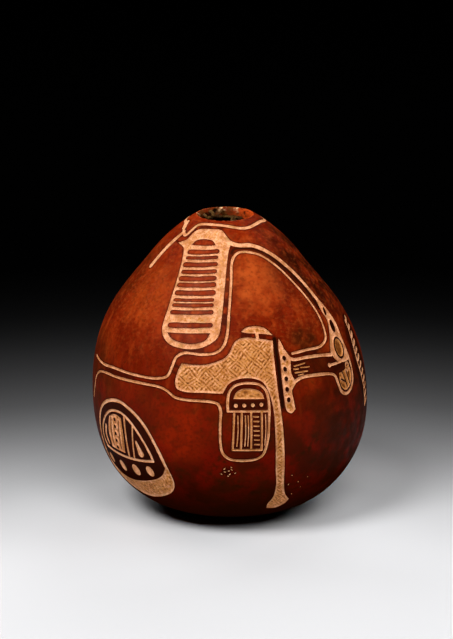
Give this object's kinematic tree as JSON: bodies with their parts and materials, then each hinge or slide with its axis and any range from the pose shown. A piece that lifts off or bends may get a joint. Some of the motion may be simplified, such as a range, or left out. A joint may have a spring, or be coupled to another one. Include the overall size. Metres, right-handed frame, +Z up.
{
  "type": "gourd rattle body",
  "caption": "Hollow pear-shaped calabash gourd with an engraved skin, a round stick hole at the crown and loose rattling seeds inside.",
  "frame": {"origin": "centre of the flat foot that the gourd stands on, below the middle of the stick hole", "axes": "+Z up the gourd's axis and out of the stick hole; the engraved front faces -Y; +X to the right seen from the front"},
  "size_m": [0.1364, 0.1364, 0.148],
  "materials": {
    "gourd_skin": "polished satin",
    "seed": "smooth satin"
  },
  "bodies": {
    "gourd": {"gourd_shell": "gourd_skin"},
    "seed_01": {"seed_01": "seed"},
    "seed_02": {"seed_02": "seed"},
    "seed_03": {"seed_03": "seed"},
    "seed_04": {"seed_04": "seed"},
    "seed_05": {"seed_05": "seed"},
    "seed_06": {"seed_06": "seed"},
    "seed_07": {"seed_07": "seed"},
    "seed_08": {"seed_08": "seed"},
    "seed_09": {"seed_09": "seed"},
    "seed_10": {"seed_10": "seed"},
    "seed_11": {"seed_11": "seed"},
    "seed_12": {"seed_12": "seed"},
    "seed_13": {"seed_13": "seed"},
    "seed_14": {"seed_14": "seed"},
    "seed_15": {"seed_15": "seed"},
    "seed_16": {"seed_16": "seed"},
    "seed_17": {"seed_17": "seed"},
    "seed_18": {"seed_18": "seed"},
    "seed_19": {"seed_19": "seed"},
    "seed_20": {"seed_20": "seed"},
    "seed_21": {"seed_21": "seed"},
    "seed_22": {"seed_22": "seed"},
    "seed_23": {"seed_23": "seed"},
    "seed_24": {"seed_24": "seed"}
  },
  "joints": [
    {"name": "seed_01_hop", "type": "slide", "parent": "gourd", "child": "seed_01", "axis": [0, 0, 1], "range_m": [0, 0.1321]},
    {"name": "seed_02_hop", "type": "slide", "parent": "gourd", "child": "seed_02", "axis": [0, 0, 1], "range_m": [0, 0.1325]},
    {"name": "seed_03_hop", "type": "slide", "parent": "gourd", "child": "seed_03", "axis": [0, 0, 1], "range_m": [0, 0.1317]},
    {"name": "seed_04_hop", "type": "slide", "parent": "gourd", "child": "seed_04", "axis": [0, 0, 1], "range_m": [0, 0.1321]},
    {"name": "seed_05_hop", "type": "slide", "parent": "gourd", "child": "seed_05", "axis": [0, 0, 1], "range_m": [0, 0.1325]},
    {"name": "seed_06_hop", "type": "slide", "parent": "gourd", "child": "seed_06", "axis": [0, 0, 1], "range_m": [0, 0.1313]},
    {"name": "seed_07_hop", "type": "slide", "parent": "gourd", "child": "seed_07", "axis": [0, 0, 1], "range_m": [0, 0.1311]},
    {"name": "seed_08_hop", "type": "slide", "parent": "gourd", "child": "seed_08", "axis": [0, 0, 1], "range_m": [0, 0.1311]},
    {"name": "seed_09_hop", "type": "slide", "parent": "gourd", "child": "seed_09", "axis": [0, 0, 1], "range_m": [0, 0.1296]},
    {"name": "seed_10_hop", "type": "slide", "parent": "gourd", "child": "seed_10", "axis": [0, 0, 1], "range_m": [0, 0.1295]},
    {"name": "seed_11_hop", "type": "slide", "parent": "gourd", "child": "seed_11", "axis": [0, 0, 1], "range_m": [0, 0.1295]},
    {"name": "seed_12_hop", "type": "slide", "parent": "gourd", "child": "seed_12", "axis": [0, 0, 1], "range_m": [0, 0.128]},
    {"name": "seed_13_hop", "type": "slide", "parent": "gourd", "child": "seed_13", "axis": [0, 0, 1], "range_m": [0, 0.1279]},
    {"name": "seed_14_hop", "type": "slide", "parent": "gourd", "child": "seed_14", "axis": [0, 0, 1], "range_m": [0, 0.1279]},
    {"name": "seed_15_hop", "type": "slide", "parent": "gourd", "child": "seed_15", "axis": [0, 0, 1], "range_m": [0, 0.1264]},
    {"name": "seed_16_hop", "type": "slide", "parent": "gourd", "child": "seed_16", "axis": [0, 0, 1], "range_m": [0, 0.1264]},
    {"name": "seed_17_hop", "type": "slide", "parent": "gourd", "child": "seed_17", "axis": [0, 0, 1], "range_m": [0, 0.1264]},
    {"name": "seed_18_hop", "type": "slide", "parent": "gourd", "child": "seed_18", "axis": [0, 0, 1], "range_m": [0, 0.1249]},
    {"name": "seed_19_hop", "type": "slide", "parent": "gourd", "child": "seed_19", "axis": [0, 0, 1], "range_m": [0, 0.1249]},
    {"name": "seed_20_hop", "type": "slide", "parent": "gourd", "child": "seed_20", "axis": [0, 0, 1], "range_m": [0, 0.1249]},
    {"name": "seed_21_hop", "type": "slide", "parent": "gourd", "child": "seed_21", "axis": [0, 0, 1], "range_m": [0, 0.1233]},
    {"name": "seed_22_hop", "type": "slide", "parent": "gourd", "child": "seed_22", "axis": [0, 0, 1], "range_m": [0, 0.1233]},
    {"name": "seed_23_hop", "type": "slide", "parent": "gourd", "child": "seed_23", "axis": [0, 0, 1], "range_m": [0, 0.1233]},
    {"name": "seed_24_hop", "type": "slide", "parent": "gourd", "child": "seed_24", "axis": [0, 0, 1], "range_m": [0, 0.1217]}
  ]
}
